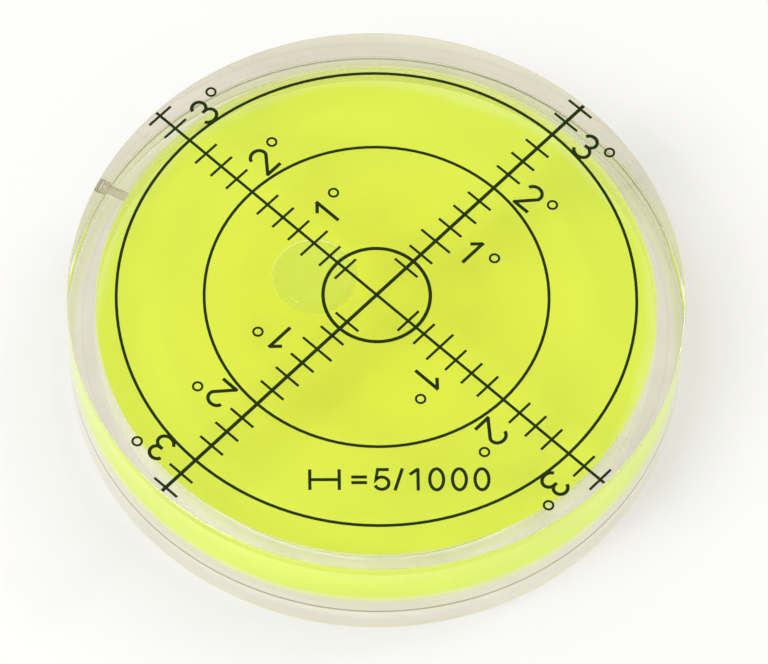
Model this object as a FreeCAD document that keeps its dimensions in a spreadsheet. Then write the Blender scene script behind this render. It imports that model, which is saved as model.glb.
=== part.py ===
"""Round bullseye level: a clear acrylic drum closed by a base plate, filled with
fluorescent fluid and one air bubble, with a graduated scale printed on its window.

Lengths are in millimetres. +Z is up, and the origin is the centre of the base.
The arms of the printed cross lie on the diagonals between X and Y.
"""

import FreeCAD, Part
import os

import Sketcher

# Driving dimensions: alias, value or formula, what it measures
SIZES = (
    ("body_diameter", 60.0, "outside diameter of the drum and of the base plate"),
    ("body_height", 12.0, "from the resting face to the top of the window"),
    ("base_thickness", 3.5, "base plate at its rim, so the height of the joint line"),
    ("edge_bevel", 0.2, "bevel of the top edge and of the bottom edge"),
    ("joint_bevel", 0.15, "bevel of each edge at the joint line"),
    ("wall_thickness", 2.8, "ring wall of the drum round its bore"),
    ("cavity_diameter", "=body_diameter - 2 * wall_thickness", "bore of the drum"),
    ("window_thickness", 2.3, "acrylic above the highest point of the ceiling"),
    ("dome_radius", 481.0, "radius of curvature of the ceiling, which sets the sensitivity"),
    ("register_height", 0.65, "raised centre of the base plate, inside the drum"),
    ("register_clearance", 0.1, "radial gap between the register and the drum"),
    ("register_bevel", 0.25, "bevel of the register's upper edge"),
    ("fill_hole_diameter", 1.0, "filling hole through the wall of the drum"),
    ("fill_hole_height", 8.3, "axis of the filling hole above the resting face"),
    ("fill_hole_bearing", 152.0, "direction of the filling hole from +X, in degrees"),
    ("fill_mouth_diameter", 1.5, "wider mouth of the filling hole"),
    ("fill_mouth_depth", 0.7, "depth of the wider mouth"),
    ("plug_clearance", 0.02, "radial gap between the plug and its hole"),
    ("plug_recess", 0.25, "outer end of the plug below the drum's side"),
    ("fluid_film", 0.05, "gap between the fluid and the acrylic"),
    ("bubble_film", 0.15, "gap between the top of the bubble and the ceiling"),
    ("pocket_gap", 0.12, "gap between the bubble and the fluid round it"),
    ("bubble_diameter", 8.5, "widest part of the bubble"),
    ("bubble_depth", 2.6, "thickness of the bubble at its centre"),
    ("bubble_offset", 6.9, "distance of the bubble from the drum's axis"),
    ("bubble_bearing", 150.0, "direction of the bubble from +X, in degrees"),
    ("ink_thickness", 0.05, "height of the print above the window"),
    ("target_ring_radius", 5.2, "circle that the bubble is centred in"),
    ("target_ring_width", 0.34, "line width of that circle"),
    ("middle_ring_radius", 16.7, "circle of two degrees"),
    ("outer_ring_radius", 25.2, "circle of three degrees"),
    ("ring_width", 0.29, "line width of the two large circles"),
    ("arm_bearing", 45.0, "direction of the first arm of the cross, in degrees"),
    ("arm_end_gap", 0.22, "from the end of each arm to the drum's side"),
    ("arm_reach", "=body_diameter / 2 - arm_end_gap", "length of each arm from the centre"),
    ("bold_arm_width", 0.35, "line width of the first arm and its opposite"),
    ("fine_arm_width", 0.28, "line width of the other two arms"),
    ("tick_pitch", 2.09, "spacing of the graduation ticks, a quarter of a degree"),
    ("tick_length", 3.0, "length of an ordinary tick"),
    ("long_tick_length", 3.8, "length of the one degree tick"),
    ("tick_width", 0.25, "line width of the ticks"),
)

# Ticks are counted in pitches from the centre, and two circles stand for a tick each
FIRST_TICK = 2
LONG_TICK = 4
CIRCLE_TICKS = (8, 12)
ARMS = 4

# Section of the bubble from its crown down: corner, share of its radius, share of its depth
BUBBLE_SECTION = (
    ("crown_edge", 0.78, 0.0),
    ("shoulder", 0.93, 0.12),
    ("upper_side", 1.0, 0.34),
    ("lower_side", 0.97, 0.58),
    ("belly", 0.82, 0.84),
    ("foot_edge", 0.48, 1.0),
)

# Heights, radii and angles that several pieces share
BODY_RADIUS = "sizes.body_diameter / 2"
BORE_RADIUS = "sizes.cavity_diameter / 2"
FLOOR = "sizes.base_thickness + sizes.register_height"
DOME_CENTRE = "sizes.body_height - sizes.window_thickness - sizes.dome_radius"
HOLE_STEP = BODY_RADIUS + " - sizes.fill_mouth_depth"
HOLE_BEARING = "sizes.fill_hole_bearing * 1 deg"
BUBBLE_BEARING = "sizes.bubble_bearing * 1 deg"
BUBBLE_TILT = "asin(sizes.bubble_offset / sizes.dome_radius)"

# Sketcher's numbers for its two axes, and for the ends and the centre of a curve
H_AXIS, V_AXIS = -1, -2
START, END, CENTRE = 1, 2, 3

doc = FreeCAD.newDocument("bullseye_level")


def make_sheet():
    """The spreadsheet that drives every size."""
    sheet = doc.addObject("Spreadsheet::Sheet", "sizes")
    for row, (alias, value, meaning) in enumerate(SIZES, start=1):
        sheet.set("A%d" % row, meaning)
        sheet.set("B%d" % row, str(value))
        sheet.setAlias("B%d" % row, alias)
    doc.recompute()
    return sheet


sizes = make_sheet()


def value_of(expression):
    """The number that an expression of the sheet's sizes gives."""
    return float(sizes.evalExpression(expression))


def vector(x, y, z):
    """A vector for a placement's expression."""
    return "create(<<vector>>; %s; %s; %s)" % (x, y, z)


def placement(place, axis, angle):
    """A placement for an expression: a vector, and a turn about another one."""
    return "create(<<placement>>; %s; create(<<rotation>>; %s; %s))" % (place, axis, angle)


def new_sketch(body, name, plane):
    """A sketch on one of the body's own origin planes."""
    sketch = body.newObject("Sketcher::SketchObject", name)
    sketch.AttachmentSupport = [(origin_feature(body, plane), "")]
    sketch.MapMode = "FlatFace"
    return sketch


def origin_feature(body, role):
    """One of the body's own origin planes or axes."""
    return next(feature for feature in body.Origin.OriginFeatures if feature.Role == role)


def hold(sketch, kind, geometry, name, expression):
    """A dimension of a sketch, bound to the sheet."""
    index = sketch.addConstraint(Sketcher.Constraint(kind, *geometry, value_of(expression)))
    sketch.renameConstraint(index, name)
    sketch.setExpression("Constraints." + name, expression)


def hold_point(sketch, curve, end, name, across, up):
    """Fixes a point at (across, up) from the sketch's origin; "0" puts it on the axis."""
    if across == "0":
        sketch.addConstraint(Sketcher.Constraint("PointOnObject", curve, end, V_AXIS))
    else:
        hold(sketch, "DistanceX", (curve, end), name + "_across", across)
    if up == "0":
        sketch.addConstraint(Sketcher.Constraint("PointOnObject", curve, end, H_AXIS))
    else:
        hold(sketch, "DistanceY", (curve, end), name + "_up", up)


def add_outline(sketch, corners):
    """Straight lines through named corners, each (name, across, up), and back to the first."""
    points = [FreeCAD.Vector(value_of(across), value_of(up), 0) for _, across, up in corners]
    lines = []
    for start, finish in zip(points, points[1:] + points[:1]):
        lines.append(sketch.addGeometry(Part.LineSegment(start, finish), False))
    for before, after in zip(lines, lines[1:] + lines[:1]):
        sketch.addConstraint(Sketcher.Constraint("Coincident", before, END, after, START))
    for line, (name, across, up) in zip(lines, corners):
        hold_point(sketch, line, START, name, across, up)


def add_circle(sketch, name, radius, up="0"):
    """A circle of a radius, centred at a height on the sketch's vertical axis."""
    centre = FreeCAD.Vector(0, value_of(up), 0)
    circle = Part.Circle(centre, FreeCAD.Vector(0, 0, 1), value_of(radius))
    index = sketch.addGeometry(circle, False)
    hold(sketch, "Radius", (index,), name + "_radius", radius)
    hold_point(sketch, index, CENTRE, name, "0", up)


def revolve(body, name, corners):
    """Turns an outline of the XZ plane about the vertical axis."""
    sketch = new_sketch(body, name + "_section", "XZ_Plane")
    add_outline(sketch, corners)
    turned = body.newObject("PartDesign::Revolution", name + "_turned")
    turned.Profile = sketch
    turned.ReferenceAxis = (sketch, ["V_Axis"])
    turned.Angle = 360
    sketch.Visibility = False
    doc.recompute()
    return sketch


def pad(body, sketch, name, length):
    """Raises a sketch by a length from the sheet."""
    raised = body.newObject("PartDesign::Pad", name)
    raised.Profile = sketch
    raised.setExpression("Length", length)
    sketch.Visibility = False
    doc.recompute()
    return raised


def radial_circle(body, name, radius, distance):
    """A circle round the filling hole's axis, facing outwards at a distance from the drum's axis."""
    sketch = new_sketch(body, name, "YZ_Plane")
    add_circle(sketch, "round", radius, "sizes.fill_hole_height")
    place = vector(
        "(%s) * sin(%s)" % (distance, HOLE_BEARING),
        "0",
        "(%s) * cos(%s)" % (distance, HOLE_BEARING),
    )
    sketch.setExpression("AttachmentOffset", placement(place, vector(0, 1, 0), HOLE_BEARING))
    return sketch


def cut_outwards(body, sketch, name):
    """Cuts a radial circle outwards through the side, and checks that it took material away."""
    before = body.Shape.Volume
    cut = body.newObject("PartDesign::Pocket", name)
    cut.Profile = sketch
    cut.Reversed = True
    cut.setExpression("Length", "sizes.body_diameter")
    sketch.Visibility = False
    doc.recompute()
    if not body.Shape.Volume < before:
        raise RuntimeError(name + " cut nothing")


def domed_cylinder(name, bottom, film):
    """What the bore holds from a height up to the ceiling, less a film at the wall and ceiling.

    The ball that gives the ceiling lies with its poles level, where the cylinder doesn't reach.
    """
    bore = doc.addObject("Part::Cylinder", name + "_bore")
    bore.setExpression("Radius", BORE_RADIUS + " - " + film)
    bore.setExpression("Height", "sizes.body_height - (" + bottom + ")")
    bore.setExpression("Placement.Base.z", bottom)
    ball = doc.addObject("Part::Sphere", name + "_ball")
    ball.setExpression("Radius", "sizes.dome_radius - " + film)
    ball.setExpression("Placement", placement(vector(0, 0, DOME_CENTRE), vector(1, 0, 0), "90 deg"))
    domed = doc.addObject("Part::Common", name)
    domed.Base = bore
    domed.Tool = ball
    doc.recompute()
    return domed


def subtract(name, base, tool):
    """One shape less another, as a sub-part."""
    cut = doc.addObject("Part::Cut", name)
    cut.Base = base
    cut.Tool = tool
    doc.recompute()
    return cut


def make_top_case():
    """Window, ring wall and concave ceiling in one piece, with the stepped filling hole."""
    drum = doc.addObject("PartDesign::Body", "drum")
    corners = (
        ("window_centre", "0", "sizes.body_height"),
        ("window_edge", BODY_RADIUS + " - sizes.edge_bevel", "sizes.body_height"),
        ("side_top", BODY_RADIUS, "sizes.body_height - sizes.edge_bevel"),
        ("side_bottom", BODY_RADIUS, "sizes.base_thickness + sizes.joint_bevel"),
        ("joint_edge", BODY_RADIUS + " - sizes.joint_bevel", "sizes.base_thickness"),
        ("joint_centre", "0", "sizes.base_thickness"),
    )
    revolve(drum, "drum", corners)
    hole = radial_circle(drum, "fill_hole_circle", "sizes.fill_hole_diameter / 2", "0")
    cut_outwards(drum, hole, "fill_hole")
    mouth = radial_circle(drum, "fill_mouth_circle", "sizes.fill_mouth_diameter / 2", HOLE_STEP)
    cut_outwards(drum, mouth, "fill_mouth")
    return subtract("top_case", drum, domed_cylinder("cavity", "0", "0"))


def make_base_plate():
    """Closing disc, with the raised register that centres it in the drum."""
    body = doc.addObject("PartDesign::Body", "base_plate")
    register = BORE_RADIUS + " - sizes.register_clearance"
    corners = (
        ("base_centre", "0", "0"),
        ("base_edge", BODY_RADIUS + " - sizes.edge_bevel", "0"),
        ("side_bottom", BODY_RADIUS, "sizes.edge_bevel"),
        ("side_top", BODY_RADIUS, "sizes.base_thickness - sizes.joint_bevel"),
        ("joint_edge", BODY_RADIUS + " - sizes.joint_bevel", "sizes.base_thickness"),
        ("register_foot", register, "sizes.base_thickness"),
        ("register_side", register, FLOOR + " - sizes.register_bevel"),
        ("register_edge", register + " - sizes.register_bevel", FLOOR),
        ("floor_centre", "0", FLOOR),
    )
    revolve(body, "base_plate", corners)
    return body


def make_fill_plug():
    """Stepped plug of the filling hole, seated against the step of its mouth."""
    body = doc.addObject("PartDesign::Body", "fill_plug")
    inner_end = BORE_RADIUS + " + sizes.fluid_film"
    stem_radius = "sizes.fill_hole_diameter / 2 - sizes.plug_clearance"
    stem = radial_circle(body, "plug_stem_circle", stem_radius, inner_end)
    pad(body, stem, "plug_stem", HOLE_STEP + " - (" + inner_end + ")")
    head_radius = "sizes.fill_mouth_diameter / 2 - sizes.plug_clearance"
    head = radial_circle(body, "plug_head_circle", head_radius, HOLE_STEP)
    pad(body, head, "plug_head", "sizes.fill_mouth_depth - sizes.plug_recess")
    return body


def bubble_form(name, growth):
    """The bubble, grown all round by an expression, hung from the ceiling's centre of curvature.

    Its crown is flat against the ceiling, its side is full and its foot is rounded off, as on
    an air bubble that presses upwards.
    """
    body = doc.addObject("PartDesign::Body", name)
    radius = "(sizes.bubble_diameter / 2 + %s)" % growth
    depth = "(sizes.bubble_depth + 2 * %s)" % growth
    corners = [("crown", "0", growth)]
    for corner, share_across, share_down in BUBBLE_SECTION:
        up = "%s - %g * %s" % (growth, share_down, depth) if share_down else growth
        corners.append((corner, "%g * %s" % (share_across, radius), up))
    corners.append(("foot", "0", "%s - %s" % (growth, depth)))
    section = revolve(body, name, corners)
    section.setExpression("AttachmentOffset.Base.y", "sizes.dome_radius - sizes.bubble_film")

    axis = vector("-sin(%s)" % BUBBLE_BEARING, "cos(%s)" % BUBBLE_BEARING, 0)
    body.setExpression("Placement", placement(vector(0, 0, DOME_CENTRE), axis, BUBBLE_TILT))
    doc.recompute()
    return body


def make_fluid():
    """The filling: the whole cavity, less the pocket that the bubble takes up."""
    filling = domed_cylinder("filling", FLOOR + " + sizes.fluid_film", "sizes.fluid_film")
    return subtract("fluid", filling, bubble_form("bubble_pocket", "sizes.pocket_gap"))


def print_sketch(body, name, bearing):
    """A sketch on the window, turned to a bearing."""
    sketch = new_sketch(body, name, "XY_Plane")
    on_window = placement(vector(0, 0, "sizes.body_height"), vector(0, 0, 1), bearing)
    sketch.setExpression("AttachmentOffset", on_window)
    return sketch


def add_bar(sketch, name, low, high, half_width):
    """A rectangle from low to high along the sketch, and half_width to each side of its axis."""
    corners = (
        (name + "_a", low, "-(%s)" % half_width),
        (name + "_b", high, "-(%s)" % half_width),
        (name + "_c", high, half_width),
        (name + "_d", low, half_width),
    )
    add_outline(sketch, corners)


def print_arms(body, name, bearing, width):
    """One line of the cross, through the centre."""
    sketch = print_sketch(body, name + "_outline", bearing)
    add_bar(sketch, name, "-sizes.arm_reach", "sizes.arm_reach", width + " / 2")
    pad(body, sketch, name, "sizes.ink_thickness")


def print_circles(body):
    """The target circle and the circles of two and three degrees."""
    sketch = print_sketch(body, "circles_outline", "0 deg")
    for name, radius, width in (
        ("target", "sizes.target_ring_radius", "sizes.target_ring_width"),
        ("middle", "sizes.middle_ring_radius", "sizes.ring_width"),
        ("outer", "sizes.outer_ring_radius", "sizes.ring_width"),
    ):
        add_circle(sketch, name + "_inside", "%s - %s / 2" % (radius, width))
        add_circle(sketch, name + "_outside", "%s + %s / 2" % (radius, width))
    pad(body, sketch, "circles", "sizes.ink_thickness")


def print_ticks(body, bearing):
    """The ticks of one arm, as many as it has room for, and the same on the others."""
    last_tick = int(value_of("(sizes.arm_reach - sizes.tick_width / 2) / sizes.tick_pitch"))
    sketch = print_sketch(body, "ticks_outline", bearing)
    for count in range(FIRST_TICK, last_tick + 1):
        if count in CIRCLE_TICKS:
            continue
        middle = "%d * sizes.tick_pitch" % count
        length = "sizes.long_tick_length" if count == LONG_TICK else "sizes.tick_length"
        low = middle + " - sizes.tick_width / 2"
        high = middle + " + sizes.tick_width / 2"
        add_bar(sketch, "tick_%d" % count, low, high, length + " / 2")
    first_arm = pad(body, sketch, "first_arm_ticks", "sizes.ink_thickness")
    all_arms = body.newObject("PartDesign::PolarPattern", "all_ticks")
    all_arms.Originals = [first_arm]
    all_arms.Axis = (origin_feature(body, "Z_Axis"), [""])
    all_arms.Angle = 360
    all_arms.Occurrences = ARMS
    body.Tip = all_arms
    doc.recompute()


def make_printed_scale():
    """Cross, circles and ticks: one printing of ink, joined where its lines cross."""
    body = doc.addObject("PartDesign::Body", "printed_scale")
    bearing = "sizes.arm_bearing * 1 deg"
    print_arms(body, "bold_arms", bearing, "sizes.bold_arm_width")
    print_arms(body, "fine_arms", "(sizes.arm_bearing + 90) * 1 deg", "sizes.fine_arm_width")
    print_circles(body)
    print_ticks(body, bearing)
    return body


def check_document(sub_parts):
    """Stops if any object failed, or a sub-part isn't one sound solid."""
    for thing in doc.Objects:
        if {"Invalid", "Error"} & set(thing.State):
            raise RuntimeError("%s failed: %s" % (thing.Label, thing.State))
    for piece in sub_parts:
        shape = piece.Shape
        if shape.isNull() or not shape.isValid() or len(shape.Solids) != 1:
            raise RuntimeError("%s isn't one sound solid" % piece.Label)


def write_parts(sub_parts):
    """One STEP file for each sub-part, named by its label."""
    os.makedirs("parts", exist_ok=True)
    for piece in sub_parts:
        piece.Shape.exportStep("parts/%s.step" % piece.Label)
        box = piece.Shape.BoundBox
        print(
            "%-14s %9.3f mm3  x %.2f..%.2f  y %.2f..%.2f  z %.3f..%.3f"
            % (piece.Label, piece.Shape.Volume, box.XMin, box.XMax, box.YMin, box.YMax, box.ZMin, box.ZMax)
        )


level = [
    make_top_case(),
    make_base_plate(),
    make_fill_plug(),
    make_fluid(),
    bubble_form("air_bubble", "0"),
    make_printed_scale(),
]
doc.recompute()
check_document(level)
write_parts(level)
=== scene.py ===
"""Bullseye level: clear acrylic drum with fluorescent fluid, an air bubble and a printed scale."""

import math

import bmesh
import bpy
from mathutils import Matrix, Vector


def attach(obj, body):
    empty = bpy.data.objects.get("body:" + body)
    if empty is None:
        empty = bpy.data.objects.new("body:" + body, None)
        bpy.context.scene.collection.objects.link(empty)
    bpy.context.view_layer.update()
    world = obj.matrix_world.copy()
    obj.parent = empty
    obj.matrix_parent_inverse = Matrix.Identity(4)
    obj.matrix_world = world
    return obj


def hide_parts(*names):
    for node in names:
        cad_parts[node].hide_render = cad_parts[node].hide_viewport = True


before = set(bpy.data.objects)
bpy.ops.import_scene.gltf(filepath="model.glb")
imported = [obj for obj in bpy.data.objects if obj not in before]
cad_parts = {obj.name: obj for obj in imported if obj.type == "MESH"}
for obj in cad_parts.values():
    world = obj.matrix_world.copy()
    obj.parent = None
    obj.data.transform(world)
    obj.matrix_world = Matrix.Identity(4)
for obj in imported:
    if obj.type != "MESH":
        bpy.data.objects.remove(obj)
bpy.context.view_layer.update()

MM = 0.001

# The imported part's own sizes, in millimetres
RIM = 30.0
TOP = 12.0
JOINT = 3.5
FLOOR = 4.15
BORE = 27.2
REGISTER = 27.1
REGISTER_BEVEL = 0.25
CROWN = 9.7
DOME = 481.0
EDGE = 0.2
GROOVE = 0.15
FILM = 0.05
INK = 0.05
HOLE_RADIUS = 0.5
HOLE_MOUTH = 0.75
HOLE_STEP = 29.3
HOLE_HEIGHT = 8.3
HOLE_BEARING = math.radians(152)
BUBBLE_RADIUS = 4.25
BUBBLE_DEPTH = 2.6
BUBBLE_OFFSET = 6.9
BUBBLE_BEARING = math.radians(150)
BUBBLE_FILM = 0.15

# Refractive indices
ACRYLIC = 1.49
LIQUID = 1.36

# Sizes that only the scene has, in millimetres
WINDOW_DROP = 0.002
HOLE_CUT_FROM = 26.5
HOLE_CUT_TO = 31.0
BUBBLE_SHOULDER = 1.05
BUBBLE_FULLNESS = 0.8

# How round the turned surfaces are, and where the ceiling's rings lie, as shares of its radius
AROUND = 256
BUBBLE_AROUND = 128
HOLE_AROUND = 48
CEILING_SHARES = (0.0, 0.25, 0.5, 0.75, 0.9, 1.0)

# Material slots of the turned pieces: the acrylic's first, then the fluid's
OUTER, WET, BONDED, HOLE, WALL = range(5)
UNDERSIDE = 3
SURFACE, SIDE, DEPTH = range(3)


def ceiling(radius, film=0.0):
    """Height of the concave ceiling at a distance from the axis."""
    return CROWN - DOME + math.sqrt((DOME - film) ** 2 - radius**2)


# Materials


def new_material(name):
    """An empty material with its output node."""
    material = bpy.data.materials.new(name)
    material.use_nodes = True
    nodes = material.node_tree.nodes
    nodes.clear()
    output = nodes.new("ShaderNodeOutputMaterial")
    return material, nodes, material.node_tree.links, output


def noise(nodes, links, scale, detail=3.0):
    """A noise texture in the object's own coordinates."""
    place = nodes.new("ShaderNodeTexCoord")
    texture = nodes.new("ShaderNodeTexNoise")
    texture.inputs["Scale"].default_value = scale
    texture.inputs["Detail"].default_value = detail
    links.new(place.outputs["Object"], texture.inputs["Vector"])
    return texture


def ramp(nodes, links, source, stops):
    """A colour ramp fed by a socket."""
    node = nodes.new("ShaderNodeValToRGB")
    elements = node.color_ramp.elements
    while len(elements) < len(stops):
        elements.new(0.5)
    for element, (position, colour) in zip(elements, stops):
        element.position = position
        element.color = (*colour, 1.0)
    links.new(source, node.inputs["Fac"])
    return node


def distance_from_axis(nodes, links):
    """The distance from the drum's axis, as a share of its radius."""
    place = nodes.new("ShaderNodeTexCoord")
    flat = nodes.new("ShaderNodeVectorMath")
    flat.operation = "MULTIPLY"
    flat.inputs[1].default_value = (1 / (RIM * MM), 1 / (RIM * MM), 0.0)
    links.new(place.outputs["Object"], flat.inputs[0])
    length = nodes.new("ShaderNodeVectorMath")
    length.operation = "LENGTH"
    links.new(flat.outputs["Vector"], length.inputs[0])
    return length.outputs["Value"]


def let_light_through(nodes, links, shader, output, tint):
    """Lets lamps, and light on its way from a matt surface, pass the shader unbent."""
    clear = nodes.new("ShaderNodeBsdfTransparent")
    clear.inputs["Color"].default_value = (*tint, 1.0)
    path = nodes.new("ShaderNodeLightPath")
    for kind in ("Is Diffuse Ray", "Is Shadow Ray"):
        mix = nodes.new("ShaderNodeMixShader")
        links.new(path.outputs[kind], mix.inputs[0])
        links.new(shader, mix.inputs[1])
        links.new(clear.outputs[0], mix.inputs[2])
        shader = mix.outputs[0]
    links.new(shader, output.inputs["Surface"])


def acrylic_material(name, index, tint, shade, clearness=1.0, painted_glow=(0.0, 0.0, 0.0)):
    """Polished acrylic, clear or with a faint painted glow of its own, with the faint unevenness of a
    moulded surface.
    """
    material, nodes, links, output = new_material(name)
    glass = nodes.new("ShaderNodeBsdfPrincipled")
    glass.inputs["Base Color"].default_value = (*tint, 1.0)
    glass.inputs["Transmission Weight"].default_value = clearness
    glass.inputs["Emission Color"].default_value = (*painted_glow, 1.0)
    glass.inputs["Emission Strength"].default_value = 1.0
    glass.inputs["IOR"].default_value = index
    smudge = noise(nodes, links, 160.0, 4.0)
    polish = ramp(nodes, links, smudge.outputs["Fac"], ((0.35, (0.01,) * 3), (0.75, (0.04,) * 3)))
    links.new(polish.outputs["Color"], glass.inputs["Roughness"])
    waves = noise(nodes, links, 55.0, 1.0)
    bump = nodes.new("ShaderNodeBump")
    bump.inputs["Strength"].default_value = 0.02
    bump.inputs["Distance"].default_value = 0.0002
    links.new(waves.outputs["Fac"], bump.inputs["Height"])
    links.new(bump.outputs["Normal"], glass.inputs["Normal"])
    let_light_through(nodes, links, glass.outputs[0], output, shade)
    return material


def bond_material():
    """Cement between the pieces: light passes unbent, a little darker at the cement's edges."""
    material, nodes, links, output = new_material("cement_joint")
    clear = nodes.new("ShaderNodeBsdfTransparent")
    bare = (0.995, 0.995, 0.98)
    dark = (0.93, 0.92, 0.88)
    light = (0.96, 0.95, 0.92)
    seam = (0.6, 0.58, 0.53)
    stops = [(0.9, bare)]
    # The cement's edges: radius and half a width in millimetres, and colour
    for radius, half, edge in ((28.36, 0.15, dark), (29.33, 0.3, light)):
        stops += [((radius - half) / RIM, bare), (radius / RIM, edge), ((radius + half) / RIM, bare)]
    stops += [((RIM - GROOVE) / RIM, bare), ((RIM - GROOVE * 0.8) / RIM, seam)]
    colour = ramp(nodes, links, distance_from_axis(nodes, links), stops)
    links.new(colour.outputs["Color"], clear.inputs["Color"])
    links.new(clear.outputs[0], output.inputs["Surface"])
    return material


def backing_material():
    """The white painted underside of the base plate, with painted light from the fluid above it: a glow
    under the fluid and a yellow-green tint at the rim.
    """
    material, nodes, links, output = new_material("white_underside")
    paint = nodes.new("ShaderNodeBsdfPrincipled")
    cloud = noise(nodes, links, 220.0, 4.0)
    whites = ((0.3, (0.785, 0.735, 0.68)), (0.7, (0.835, 0.785, 0.73)))
    paper = ramp(nodes, links, cloud.outputs["Fac"], whites)
    across = distance_from_axis(nodes, links)
    # A painted yellow-green tint at the rim, standing in for the fluid's light on the paint
    painted_rim_tint = ramp(nodes, links, across, ((0.955, (1.0, 1.0, 1.0)), (0.975, (0.94, 1.0, 0.76))))
    colour = nodes.new("ShaderNodeMix")
    colour.data_type = "RGBA"
    colour.blend_type = "MULTIPLY"
    colour.inputs["Factor"].default_value = 1.0
    # A mix node keeps its sockets for colours at these places
    first, second, mixed = colour.inputs[6], colour.inputs[7], colour.outputs[2]
    links.new(paper.outputs["Color"], first)
    links.new(painted_rim_tint.outputs["Color"], second)
    links.new(mixed, paint.inputs["Base Color"])
    # A painted glow under the fluid: emission standing in for the fluid's light on the paint
    painted_glow = ramp(nodes, links, across, ((0.87, (0.8, 0.88, 0.5)), (0.91, (0.0, 0.0, 0.0))))
    links.new(painted_glow.outputs["Color"], paint.inputs["Emission Color"])
    paint.inputs["Emission Strength"].default_value = 0.1
    paint.inputs["Roughness"].default_value = 0.7
    paint.inputs["Specular IOR Level"].default_value = 0.2
    links.new(paint.outputs[0], output.inputs["Surface"])
    return material


def height_in_fluid(nodes, links):
    """The height above the floor of the cavity, as a share of the fluid's depth."""
    place = nodes.new("ShaderNodeTexCoord")
    parts = nodes.new("ShaderNodeSeparateXYZ")
    links.new(place.outputs["Object"], parts.inputs[0])
    share = nodes.new("ShaderNodeMapRange")
    share.inputs["From Min"].default_value = FLOOR * MM
    share.inputs["From Max"].default_value = CROWN * MM
    links.new(parts.outputs["Z"], share.inputs["Value"])
    return share.outputs["Result"]


def fluid_material(name, clearness, stops, painted_glow, shade, upright=False):
    """Fluorescent fluid: partly clear, with a constant painted glow that stands in for its fluorescence."""
    material, nodes, links, output = new_material(name)
    liquid = nodes.new("ShaderNodeBsdfPrincipled")
    swirl = noise(nodes, links, 45.0, 2.0)
    stir = nodes.new("ShaderNodeMath")
    stir.operation = "MULTIPLY_ADD"
    stir.inputs[1].default_value = 0.06 if upright else 0.18
    links.new(swirl.outputs["Fac"], stir.inputs[0])
    run = height_in_fluid(nodes, links) if upright else distance_from_axis(nodes, links)
    links.new(run, stir.inputs[2])
    colour = ramp(nodes, links, stir.outputs[0], stops)
    links.new(colour.outputs["Color"], liquid.inputs["Base Color"])
    links.new(colour.outputs["Color"], liquid.inputs["Emission Color"])
    # The emission is a painted glow in the fluid's own colour, the same whatever light reaches it
    liquid.inputs["Emission Strength"].default_value = painted_glow
    liquid.inputs["Transmission Weight"].default_value = clearness
    liquid.inputs["IOR"].default_value = 1.0
    liquid.inputs["Roughness"].default_value = 0.0
    liquid.inputs["Specular IOR Level"].default_value = 0.0
    let_light_through(nodes, links, liquid.outputs[0], output, shade)
    return material


def air_material():
    """The bubble's skin, where the fluid ends and air begins."""
    material, nodes, links, output = new_material("air_bubble_skin")
    skin = nodes.new("ShaderNodeBsdfPrincipled")
    cloud = noise(nodes, links, 300.0, 2.0)
    # The skin's tint is painted shade: it darkens the fluid seen through the bubble
    painted_shade_tints = ((0.3, (0.88, 0.92, 0.94)), (0.7, (0.91, 0.95, 1.0)))
    colour = ramp(nodes, links, cloud.outputs["Fac"], painted_shade_tints)
    links.new(colour.outputs["Color"], skin.inputs["Base Color"])
    skin.inputs["Transmission Weight"].default_value = 0.99
    skin.inputs["IOR"].default_value = 0.82
    skin.inputs["Roughness"].default_value = 0.0
    let_light_through(nodes, links, skin.outputs[0], output, (1.0, 1.0, 1.0))
    return material


def ink_material():
    """Screen printed black ink with a slightly uneven body."""
    material, nodes, links, output = new_material("screen_ink")
    ink = nodes.new("ShaderNodeBsdfPrincipled")
    grain = noise(nodes, links, 2500.0, 5.0)
    blacks = ((0.3, (0.008, 0.02, 0.002)), (0.75, (0.016, 0.034, 0.005)))
    colour = ramp(nodes, links, grain.outputs["Fac"], blacks)
    links.new(colour.outputs["Color"], ink.inputs["Base Color"])
    ink.inputs["Roughness"].default_value = 0.8
    ink.inputs["Specular IOR Level"].default_value = 0.12
    bump = nodes.new("ShaderNodeBump")
    bump.inputs["Strength"].default_value = 0.3
    bump.inputs["Distance"].default_value = 0.00002
    links.new(grain.outputs["Fac"], bump.inputs["Height"])
    links.new(bump.outputs["Normal"], ink.inputs["Normal"])
    links.new(ink.outputs[0], output.inputs["Surface"])
    return material


def plug_material():
    """Cured filling cement: brownish, dull and half clear."""
    material, nodes, links, output = new_material("cement_plug")
    cement = nodes.new("ShaderNodeBsdfPrincipled")
    grain = noise(nodes, links, 900.0, 4.0)
    browns = ((0.3, (0.62, 0.57, 0.42)), (0.7, (0.88, 0.85, 0.74)))
    colour = ramp(nodes, links, grain.outputs["Fac"], browns)
    links.new(colour.outputs["Color"], cement.inputs["Base Color"])
    cement.inputs["Roughness"].default_value = 0.55
    cement.inputs["Transmission Weight"].default_value = 0.8
    cement.inputs["IOR"].default_value = 1.03
    let_light_through(nodes, links, cement.outputs[0], output, (0.9, 0.9, 0.88))
    return material


# Pieces


def finish_mesh(mesh_builder, name, materials, sharp_angle=25.0):
    """A mesh object from a bmesh: outward normals, smooth faces, sharp corners."""
    mesh = bpy.data.meshes.new(name)
    bmesh.ops.recalc_face_normals(mesh_builder, faces=mesh_builder.faces)
    for face in mesh_builder.faces:
        face.smooth = True
    for edge in mesh_builder.edges:
        if len(edge.link_faces) == 2 and edge.calc_face_angle() > math.radians(sharp_angle):
            edge.smooth = False
    mesh_builder.to_mesh(mesh)
    mesh_builder.free()
    for material in materials:
        mesh.materials.append(material)
    thing = bpy.data.objects.new(name, mesh)
    bpy.context.scene.collection.objects.link(thing)
    return thing


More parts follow.
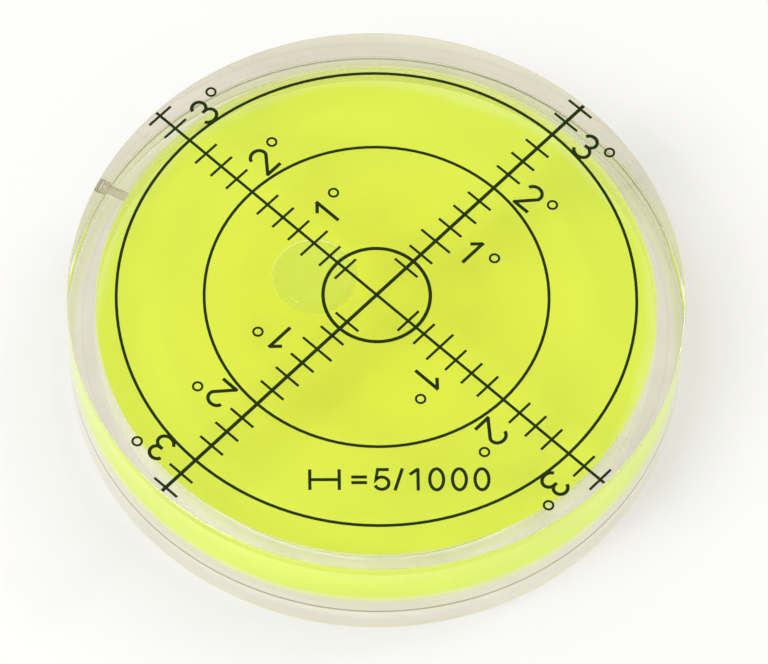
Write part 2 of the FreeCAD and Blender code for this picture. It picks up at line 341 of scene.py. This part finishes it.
def turned(profile, around=AROUND):
    """A closed bmesh turned from (radius, height, zone) points; the zone is the span's that follows."""
    builder = bmesh.new()
    rings = []
    for radius, height, _ in profile:
        if radius == 0:
            rings.append([builder.verts.new((0, 0, height * MM))])
            continue
        ring = []
        for step in range(around):
            angle = 2 * math.pi * step / around
            x = radius * MM * math.cos(angle)
            y = radius * MM * math.sin(angle)
            ring.append(builder.verts.new((x, y, height * MM)))
        rings.append(ring)
    for (_, _, zone), upper, lower in zip(profile, rings, rings[1:]):
        for step in range(around):
            after = (step + 1) % around
            if len(upper) == 1:
                corners = (upper[0], lower[step], lower[after])
            elif len(lower) == 1:
                corners = (upper[step], lower[0], upper[after])
            else:
                corners = (upper[step], lower[step], lower[after], upper[after])
            face = builder.faces.new(corners)
            face.material_index = zone
    return builder


def rounded(radius, height, size, start, end, zone, steps=5):
    """Points of a rounded corner of a section, between two angles in degrees."""
    points = []
    for step in range(steps + 1):
        angle = math.radians(start + (end - start) * step / steps)
        points.append((radius + size * math.cos(angle), height + size * math.sin(angle), zone))
    return points


def cut_hole(drum, materials):
    """Cuts the stepped filling hole through the wall of the drum."""
    outline = (
        (0, HOLE_CUT_FROM),
        (HOLE_RADIUS, HOLE_CUT_FROM),
        (HOLE_RADIUS, HOLE_STEP),
        (HOLE_MOUTH, HOLE_STEP),
        (HOLE_MOUTH, HOLE_CUT_TO),
        (0, HOLE_CUT_TO),
    )
    section = [(radius, height, HOLE) for radius, height in outline]
    cutter = finish_mesh(turned(section, HOLE_AROUND), "hole_cutter", materials)
    outwards = Vector((math.cos(HOLE_BEARING), math.sin(HOLE_BEARING), 0))
    cutter.data.transform(outwards.to_track_quat("Z", "Y").to_matrix().to_4x4())
    cutter.data.transform(Matrix.Translation((0, 0, HOLE_HEIGHT * MM)))
    modifier = drum.modifiers.new("fill_hole", "BOOLEAN")
    modifier.operation = "DIFFERENCE"
    modifier.solver = "EXACT"
    modifier.material_mode = "INDEX"
    modifier.object = cutter
    bpy.context.view_layer.update()
    cut = bpy.data.meshes.new_from_object(drum.evaluated_get(bpy.context.evaluated_depsgraph_get()))
    drum.modifiers.clear()
    drum.data = cut
    bpy.data.objects.remove(cutter)
    round_off(drum.data)


def round_off(mesh):
    """Gives the upright walls the normals of true cylinders, also where the hole cuts them."""
    normals = [corner.vector.copy() for corner in mesh.corner_normals]
    for face in mesh.polygons:
        middle = Vector((face.center.x, face.center.y, 0))
        lies_flat = abs(face.normal.z) > 0.05
        is_under_window = middle.length < BORE * 0.99 * MM
        if lies_flat or is_under_window or face.material_index == HOLE:
            continue
        if abs(face.normal.dot(middle.normalized())) < 0.999:
            continue
        side = 1 if face.normal.dot(middle) > 0 else -1
        for loop in face.loop_indices:
            corner = mesh.vertices[mesh.loops[loop].vertex_index].co
            normals[loop] = Vector((corner.x, corner.y, 0)).normalized() * side
    mesh.normals_split_custom_set(normals)


def make_drum(outside, wetted, wall, bond):
    """Window, ring wall and concave ceiling, with the filling hole cut through the wall."""
    window = TOP - WINDOW_DROP
    section = [(0, window, OUTER), (RIM / 2, window, OUTER)]
    section += rounded(RIM - EDGE, window - EDGE, EDGE, 90, 0, OUTER)
    section += [(RIM, JOINT + GROOVE, OUTER), (RIM - GROOVE, JOINT, BONDED), (BORE, JOINT, WALL)]
    section += [(BORE * share, ceiling(BORE * share), WET) for share in reversed(CEILING_SHARES)]
    materials = [outside, wetted, bond, bond, wall]
    drum = finish_mesh(turned(section), "acrylic_drum", materials)
    cut_hole(drum, materials)
    return drum


def make_base(outside, wetted, bond, backing):
    """Closing disc with its raised register and its painted underside."""
    corner = rounded(RIM - EDGE, EDGE, EDGE, -90, 0, OUTER)
    section = [(0, 0, UNDERSIDE), (RIM / 2, 0, UNDERSIDE), (RIM - EDGE, 0, OUTER)] + corner[1:]
    section += [(RIM, JOINT - GROOVE, BONDED), (RIM - GROOVE, JOINT, BONDED), (BORE, JOINT, WET)]
    section += [(REGISTER, JOINT, WET), (REGISTER, FLOOR - REGISTER_BEVEL, WET)]
    section += [(REGISTER - REGISTER_BEVEL, FLOOR, WET), (RIM / 2, FLOOR, WET), (0, FLOOR, WET)]
    return finish_mesh(turned(section), "acrylic_base", [outside, wetted, bond, backing])


def make_fluid(surface, side, depth):
    """The filling of the whole cavity."""
    radius = BORE - FILM
    foot = FLOOR + FILM
    section = [(radius * share, ceiling(radius * share, FILM), SURFACE) for share in CEILING_SHARES[:-1]]
    section += [(radius, ceiling(radius, FILM), SIDE)]
    section += [(radius, foot, DEPTH), (RIM / 2, foot, DEPTH), (0, foot, DEPTH)]
    return finish_mesh(turned(section), "fluid_filling", [surface, side, depth])


def make_bubble(skin):
    """A flattened bubble that hangs from the ceiling's centre of curvature."""
    top = DOME - BUBBLE_FILM
    waist = top - BUBBLE_SHOULDER
    flat = BUBBLE_RADIUS - BUBBLE_SHOULDER
    belly = BUBBLE_DEPTH - BUBBLE_SHOULDER
    section = [(0, top, 0), (flat / 2, top, 0)]
    section += rounded(flat, waist, BUBBLE_SHOULDER, 90, 0, 0, 12)
    steps = 16
    for step in range(1, steps):
        angle = math.radians(90 * step / steps)
        across = BUBBLE_RADIUS * math.cos(angle) ** BUBBLE_FULLNESS
        section.append((across, waist - belly * math.sin(angle), 0))
    section.append((0, top - BUBBLE_DEPTH, 0))
    bubble = finish_mesh(turned(section, BUBBLE_AROUND), "bubble_of_air", [skin], 60.0)
    tilt = math.asin(BUBBLE_OFFSET / DOME)
    axis = Vector((-math.sin(BUBBLE_BEARING), math.cos(BUBBLE_BEARING), 0))
    place = Matrix.Translation((0, 0, (CROWN - DOME) * MM)) @ Matrix.Rotation(tilt, 4, axis)
    bubble.data.transform(place)
    return bubble


# Figures

# A stroke's height as a share of the ink's, its drop for each later stroke, and a corner's mitre limit
STROKE_RISE = 0.9
LAYER_DROP = 0.08
MITRE_LIMIT = 0.35


def arc(x, y, across, up, start, end, steps=20):
    """Points of an elliptical arc, between two angles in degrees."""
    points = []
    for step in range(steps + 1):
        angle = math.radians(start + (end - start) * step / steps)
        points.append((x + across * math.cos(angle), y + up * math.sin(angle)))
    return points


def add_stroke(builder, points, width, place, layer=0, closed=False):
    """A line of ink along points, standing on the window, a little lower for each later layer."""
    rise = STROKE_RISE - LAYER_DROP * layer
    points = [Vector(point) for point in points]
    count = len(points)
    rows = []
    for index, point in enumerate(points):
        onward = points[(index + 1) % count]
        arriving = (point - points[index - 1]).normalized() if index or closed else None
        leaving = (onward - point).normalized() if index + 1 < count or closed else None
        along = ((arriving or leaving) + (leaving or arriving)).normalized()
        reach = 1 / max(MITRE_LIMIT, along.dot(leaving or arriving))
        side = Vector((-along.y, along.x)) * width / 2 * reach
        row = []
        left, right = point + side, point - side
        for corner, height in ((left, 0.0), (right, 0.0), (right, rise), (left, rise)):
            x, y = place(corner.x, corner.y)
            row.append(builder.verts.new((x * MM, y * MM, (TOP + height * INK) * MM)))
        rows.append(row)
    pairs = list(zip(rows, rows[1:] + rows[:1])) if closed else list(zip(rows, rows[1:]))
    for first, second in pairs:
        for corner in range(4):
            following = (corner + 1) % 4
            builder.faces.new((first[corner], second[corner], second[following], first[following]))
    if not closed:
        builder.faces.new(rows[0])
        builder.faces.new(rows[-1][::-1])


# Strokes of the figures on the arms: centrelines in millimetres
FIGURE_STROKE = 0.34
DEGREE_STROKE = 0.215
ONE = (((1.0, 3.02), (1.0, 0.0)), ((1.0, 2.90), (0.14, 2.05)))
TWO = (
    arc(0.93, 2.17, 0.83, 0.74, 168, -22) + [(0.16, 0.16)],
    ((0.02, 0.16), (1.95, 0.16)),
)
THREE = (
    arc(0.93, 2.11, 0.72, 0.68, 165, -80),
    arc(1.0, 0.81, 0.84, 0.71, 84, -162),
    ((0.80, 1.48), (1.12, 1.48)),
)
# Figure, its left edge beside the arm, its foot along the arm, and its degree sign's centre
FIGURES = (
    (ONE, 2.52, 8.42, (5.45, 10.92)),
    (TWO, 2.33, 16.82, (5.45, 19.27)),
    (THREE, 2.34, 25.02, (5.45, 27.57)),
)

# Strokes of the scale's note: a mark of one division, and the plain number that it stands for
NOTE_STROKE = 0.315
DIVISION = (((0.3, 0.1), (0.3, 2.3)), ((3.1, 0.1), (3.1, 2.3)), ((0.3, 1.2), (3.1, 1.2)))
EQUALS = (((0.0, 1.47), (1.5, 1.47)), ((0.0, 0.87), (1.5, 0.87)))
FIVE = ([(1.46, 2.27), (0.40, 2.27), (0.21, 1.16)] + arc(0.78, 0.80, 0.68, 0.66, 128, -158),)
SLASH = (((0.05, 0.02), (0.78, 2.38)),)
NOTE_ONE = (((0.86, 0.0), (0.86, 2.40)), ((0.86, 2.33), (0.08, 1.72)))
ZERO = (arc(0.75, 1.20, 0.66, 1.13, 0, 351, 39),)
NOTE = (
    (DIVISION, -7.3),
    (EQUALS, -3.05),
    (FIVE, -0.93),
    (SLASH, 1.05),
    (NOTE_ONE, 2.45),
    (ZERO, 4.33),
    (ZERO, 6.5),
    (ZERO, 8.65),
)
NOTE_FOOT = -21.45
NOTE_TURN = math.radians(-1.0)


def make_figures(ink):
    """The degrees along the four arms."""
    builder = bmesh.new()
    ring = arc(0, 0, 0.45, 0.45, 0, 350, 35)
    for arm in range(4):
        bearing = math.radians(45 + 90 * arm)
        outward = Vector((math.cos(bearing), math.sin(bearing)))
        sideways = Vector((math.sin(bearing), -math.cos(bearing)))
        for strokes, left, foot, (degree_side, degree_out) in FIGURES:

            def place(x, y):
                return outward * (foot + y) + sideways * (left + x)

            def place_degree(x, y):
                return outward * (degree_out + y) + sideways * (degree_side + x)

            for layer, line in enumerate(strokes):
                add_stroke(builder, line, FIGURE_STROKE, place, layer)
            add_stroke(builder, ring, DEGREE_STROKE, place_degree, closed=True)
    return finish_mesh(builder, "printed_degrees", [ink])


def make_note(ink):
    """The note of the scale, between the circles of two and three degrees."""
    builder = bmesh.new()
    turn = Matrix.Rotation(NOTE_TURN, 2)
    for strokes, left in NOTE:

        def place(x, y):
            return turn @ Vector((left + x, y)) + Vector((0, NOTE_FOOT))

        for layer, line in enumerate(strokes):
            add_stroke(builder, line, NOTE_STROKE, place, layer, closed=strokes is ZERO)
    return finish_mesh(builder, "printed_note", [ink])


# The looks of this level: the ceiling that the fluid wets bends no light
TINT = (0.995, 0.995, 0.98)
WALL_TINT = (0.88, 1.0, 0.35)
# The bore wall's glow is painted light: the acrylic gives off a faint yellow-green light of its own
WALL_PAINTED_GLOW = (0.05, 0.085, 0.005)
SHADE_OUTSIDE = (0.935, 0.93, 0.91)
SHADE_INSIDE = (0.985, 0.985, 0.975)
# The fluid's floor is painted lighter and greener from the middle to the brim: painted light
MIDDLE = (0.73, 0.81, 0.055)
PAINTED_LIGHT_BRIM = (0.735, 0.845, 0.08)
outside = acrylic_material("clear_acrylic", ACRYLIC, TINT, SHADE_OUTSIDE)
wetted = acrylic_material("acrylic_on_fluid", 1.0, TINT, SHADE_INSIDE)
wall = acrylic_material("bore_wall", ACRYLIC / LIQUID, WALL_TINT, SHADE_INSIDE, 0.87, WALL_PAINTED_GLOW)
bond = bond_material()
backing = backing_material()
SURFACE_RUN = ((0.35, (0.97, 1.0, 0.86)), (1.0, (0.96, 1.0, 0.88)))
# The fluid's side is painted paler towards the top: painted light
SIDE_RUN = ((0.05, (0.87, 0.94, 0.2)), (0.5, (0.93, 0.93, 0.32)), (1.0, (1.0, 0.98, 0.92)))
DEPTH_RUN = ((0.35, MIDDLE), (0.97, PAINTED_LIGHT_BRIM), (1.02, (0.76, 0.87, 0.2)))
surface_look = fluid_material("fluid_surface", 1.0, SURFACE_RUN, 0.0, (0.96, 0.97, 0.93))
side_look = fluid_material("fluid_side", 0.85, SIDE_RUN, 0.02, (0.8, 0.81, 0.76), True)
depth_look = fluid_material("fluid_depth", 0.0, DEPTH_RUN, 0.12, (0.93, 0.95, 0.86))
air_look = air_material()
ink_look = ink_material()
plug_look = plug_material()

drum = make_drum(outside, wetted, wall, bond)
base = make_base(outside, wetted, bond, backing)
fluid = make_fluid(surface_look, side_look, depth_look)
bubble = make_bubble(air_look)
figures = make_figures(ink_look)
note = make_note(ink_look)

for piece, body, slot, node in (
    (drum, "case", "clear_acrylic", "top_case"),
    (base, "case", "clear_acrylic", "base_plate"),
    (fluid, "filling", "fluid", "fluid"),
    (bubble, "bubble", "air", "air_bubble"),
    (figures, "case", "ink", None),
    (note, "case", "ink", None),
):
    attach(piece, body)
    if node:
        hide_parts(node)

for node, look in (("printed_scale", ink_look), ("fill_plug", plug_look)):
    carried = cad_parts[node]
    if carried.material_slots:
        for slot in carried.material_slots:
            slot.material = look
    else:
        carried.data.materials.append(look)

# Floor, light and camera: the floor in metres, and its paleness's reach in radii of the rim
FLOOR_HALF = 1.5
FLOOR_DROP = 0.00003
PALE_UNTIL = 5.0
WHITE_FROM = 15.0

# The white world's strength as light, through glass and to the eye
WORLD_LIGHT = 0.487
WORLD_IN_GLASS = 0.95
WORLD_SEEN = 1.0

# Lamps: name, place, aim and size in metres, power in watts, and colour
LAMPS = (
    ("key", (-0.74, -0.37, 0.88), (0, 0, 0), 0.5, 9.95, (1.0, 1.0, 1.0)),
    ("fill", (0.66, 0.42, 0.66), (0, 0, 0), 0.2, 2.55, (1.0, 1.0, 1.0)),
    ("streak", (0.95, -0.2, 0.28), (0, 0, 0.005), 0.3, 0.5, (1.0, 0.97, 0.9)),
)


def make_floor():
    """A plain pale floor that turns white away from the object, except as light."""
    builder = bmesh.new()
    half = FLOOR_HALF
    corners = [(x, y, -FLOOR_DROP) for x, y in ((-half, -half), (half, -half), (half, half), (-half, half))]
    builder.faces.new([builder.verts.new(corner) for corner in corners])
    material, nodes, links, output = new_material("pale_floor")
    paper = nodes.new("ShaderNodeBsdfDiffuse")
    paper.inputs["Color"].default_value = (0.885, 0.88, 0.865, 1.0)
    fade = nodes.new("ShaderNodeMapRange")
    fade.inputs["From Min"].default_value = PALE_UNTIL
    fade.inputs["From Max"].default_value = WHITE_FROM
    links.new(distance_from_axis(nodes, links), fade.inputs["Value"])
    path = nodes.new("ShaderNodeLightPath")
    unlit = nodes.new("ShaderNodeMath")
    unlit.operation = "SUBTRACT"
    unlit.inputs[0].default_value = 1.0
    links.new(path.outputs["Is Diffuse Ray"], unlit.inputs[1])
    share = nodes.new("ShaderNodeMath")
    share.operation = "MULTIPLY"
    links.new(fade.outputs["Result"], share.inputs[0])
    links.new(unlit.outputs[0], share.inputs[1])
    white = nodes.new("ShaderNodeEmission")
    mix = nodes.new("ShaderNodeMixShader")
    links.new(share.outputs[0], mix.inputs[0])
    links.new(paper.outputs[0], mix.inputs[1])
    links.new(white.outputs[0], mix.inputs[2])
    links.new(mix.outputs[0], output.inputs["Surface"])
    floor = finish_mesh(builder, "floor", [material])


def make_light(name, place, aim, size, power, colour):
    """A soft square lamp."""
    data = bpy.data.lights.new(name, "AREA")
    data.shape = "SQUARE"
    data.size = size
    data.energy = power
    data.color = colour
    lamp = bpy.data.objects.new(name, data)
    lamp.location = place
    lamp.rotation_mode = "QUATERNION"
    lamp.rotation_quaternion = (Vector(aim) - Vector(place)).to_track_quat("-Z", "Y")
    bpy.context.scene.collection.objects.link(lamp)


def make_world():
    """White all round: one strength for the eye and for glass, another as light."""
    world = bpy.data.worlds.new("studio")
    world.use_nodes = True
    nodes = world.node_tree.nodes
    links = world.node_tree.links
    nodes.clear()
    output = nodes.new("ShaderNodeOutputWorld")
    path = nodes.new("ShaderNodeLightPath")
    lit = nodes.new("ShaderNodeBackground")
    lit.inputs["Strength"].default_value = WORLD_LIGHT
    lit.inputs["Color"].default_value = (1.0, 1.0, 1.0, 1.0)
    shader = lit.outputs[0]
    for kind, strength in (("Is Transmission Ray", WORLD_IN_GLASS), ("Is Camera Ray", WORLD_SEEN)):
        seen = nodes.new("ShaderNodeBackground")
        seen.inputs["Color"].default_value = (1.0, 1.0, 1.0, 1.0)
        seen.inputs["Strength"].default_value = strength
        mix = nodes.new("ShaderNodeMixShader")
        links.new(path.outputs[kind], mix.inputs[0])
        links.new(shader, mix.inputs[1])
        links.new(seen.outputs[0], mix.inputs[2])
        shader = mix.outputs[0]
    links.new(shader, output.inputs["Surface"])
    bpy.context.scene.world = world


# The photograph's camera, from the three printed circles: millimetres and radians
DISTANCE = 598.616
ELEVATION = 1.0567693
ROLL = 0.0398764
ASIDE = 0.7096
RAISED = -3.5845
TURN = math.radians(-3.754)
LENS = 289.832


def make_camera():
    """The photograph's viewpoint."""
    back = Vector((0, -math.cos(ELEVATION), math.sin(ELEVATION)))
    level_up = Vector((0, math.sin(ELEVATION), math.cos(ELEVATION)))
    right = math.cos(ROLL) * Vector((1, 0, 0)) + math.sin(ROLL) * level_up
    up = -math.sin(ROLL) * Vector((1, 0, 0)) + math.cos(ROLL) * level_up
    place = back * DISTANCE + right * ASIDE + up * RAISED
    turn = Matrix.Rotation(TURN, 3, "Z")
    axes = Matrix((turn @ right, turn @ up, turn @ back)).transposed()
    data = bpy.data.cameras.new("camera")
    data.lens = LENS
    data.sensor_width = 36.0
    data.clip_start = 0.05
    data.clip_end = 20.0
    camera = bpy.data.objects.new("camera", data)
    camera.matrix_world = Matrix.Translation((turn @ place + Vector((0, 0, TOP))) * MM) @ axes.to_4x4()
    bpy.context.scene.collection.objects.link(camera)
    bpy.context.scene.camera = camera


make_floor()
make_world()
for lamp in LAMPS:
    make_light(*lamp)
make_camera()

bpy.context.scene.view_settings.view_transform = "Standard"
